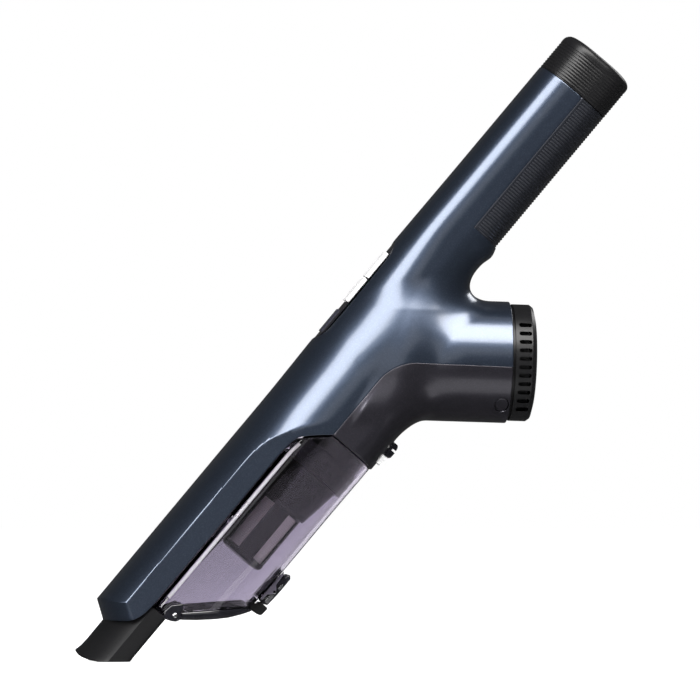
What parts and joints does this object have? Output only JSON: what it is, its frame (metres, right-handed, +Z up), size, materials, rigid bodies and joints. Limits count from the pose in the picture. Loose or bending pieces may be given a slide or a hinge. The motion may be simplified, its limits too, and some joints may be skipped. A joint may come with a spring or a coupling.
{
  "type": "handheld vacuum",
  "caption": "Slim cordless hand vacuum: straight wand with a nozzle, clear dust cup under a long roof, round motor pod with a slotted exhaust, ribbed handle and slide-out battery.",
  "frame": {"origin": "middle of the nozzle's mouth, on the plane of its rim", "axes": "+Z up with the mouth flat on the floor, +X towards the exhaust, +Y across the width; the wand leans 50 degrees above the floor"},
  "size_m": [0.2767, 0.0608, 0.3122],
  "materials": {
    "casing_paint": "metallic navy paint on moulded plastic, clear gloss coat",
    "lower_paint": "metallic graphite paint, gloss coat",
    "grip": "ribbed navy-black plastic",
    "black_satin": "satin black plastic",
    "black_gloss": "gloss black plastic",
    "inner_plastic": "dark grey moulded plastic",
    "button_silver": "bright silver button caps",
    "lens": "smoked lens",
    "board": "green circuit board",
    "seal_rubber": "black rubber",
    "steel": "bare steel",
    "motor_metal": "machined aluminium",
    "copper": "copper windings and contacts",
    "filter_media": "pleated filter felt",
    "smoke_clear": "smoked clear plastic with a violet tint",
    "shroud_plastic": "dark shroud plastic",
    "mesh_steel": "fine steel mesh",
    "cell_wrap": "cell wrap",
    "wire": "wire insulation"
  },
  "bodies": {
    "main": {"front_shell": "casing_paint", "rear_shell": "casing_paint", "motor_shell": "lower_paint", "grip_panel": "grip", "nozzle": "black_satin", "inlet_duct": "inner_plastic", "inlet_flap": "seal_rubber", "duct_screws": "steel", "control_bezel": "black_gloss", "indicator_lens": "lens", "control_board": "board", "button_switches": "inner_plastic", "air_bulkhead": "inner_plastic", "bulkhead_seal": "seal_rubber", "motor_can": "motor_metal", "motor_mount": "seal_rubber", "motor_stator": "copper", "motor_bearings": "steel", "fan_housing": "inner_plastic", "exhaust_filter": "filter_media", "exhaust_cap": "black_satin", "battery_bay": "inner_plastic", "contact_block": "inner_plastic", "wiring": "wire"},
    "rotor": {"motor_shaft": "steel", "rotor_magnet": "steel", "impeller": "motor_metal"},
    "power_key": {"power_button": "button_silver"},
    "mode_key": {"mode_button": "button_silver"},
    "cup_release": {"release_button": "black_gloss", "release_spring": "steel"},
    "cup": {"dust_cup": "smoke_clear", "filter_frame": "shroud_plastic", "filter_seals": "seal_rubber", "pleated_filter": "filter_media", "shroud": "shroud_plastic", "mesh_screen": "mesh_steel", "door_hinge_pin": "steel", "latch_pin": "steel", "latch_spring": "steel"},
    "door": {"cup_door": "black_gloss", "door_seal": "seal_rubber"},
    "latch": {"door_latch": "black_gloss"},
    "battery": {"battery_case": "black_satin", "battery_cells": "cell_wrap", "battery_terminals": "copper", "battery_cap": "black_satin"}
  },
  "joints": [
    {"name": "power_press", "type": "slide", "parent": "main", "child": "power_key", "axis": [0.766, 0, -0.6428], "range_m": [0, 0.001], "stiffness_N_per_m": 600},
    {"name": "mode_press", "type": "slide", "parent": "main", "child": "mode_key", "axis": [0.766, 0, -0.6428], "range_m": [0, 0.001], "stiffness_N_per_m": 600},
    {"name": "release_press", "type": "slide", "parent": "main", "child": "cup_release", "axis": [-0.766, 0, 0.6428], "range_m": [0, 0.002], "stiffness_N_per_m": 800},
    {"name": "rotor_spin", "type": "hinge", "parent": "main", "child": "rotor", "pos_m": [0.20131, 0, 0.14877], "axis": [0.9995, 0, -0.0314], "continuous": true},
    {"name": "cup_slide", "type": "slide", "parent": "main", "child": "cup", "axis": [0.766, 0, -0.6428], "range_m": [0, 0.09]},
    {"name": "door_swing", "type": "hinge", "parent": "cup", "child": "door", "pos_m": [0.03181, 0, 0.023], "axis": [0, 1, 0], "range_deg": [0, 90]},
    {"name": "latch_tilt", "type": "hinge", "parent": "cup", "child": "latch", "pos_m": [0.08278, 0, 0.03427], "axis": [0, -1, 0], "range_deg": [0, 10], "stiffness_Nm_per_rad": 0.05},
    {"name": "battery_slide", "type": "slide", "parent": "main", "child": "battery", "axis": [0.6428, 0, 0.766], "range_m": [0, 0.13]}
  ]
}
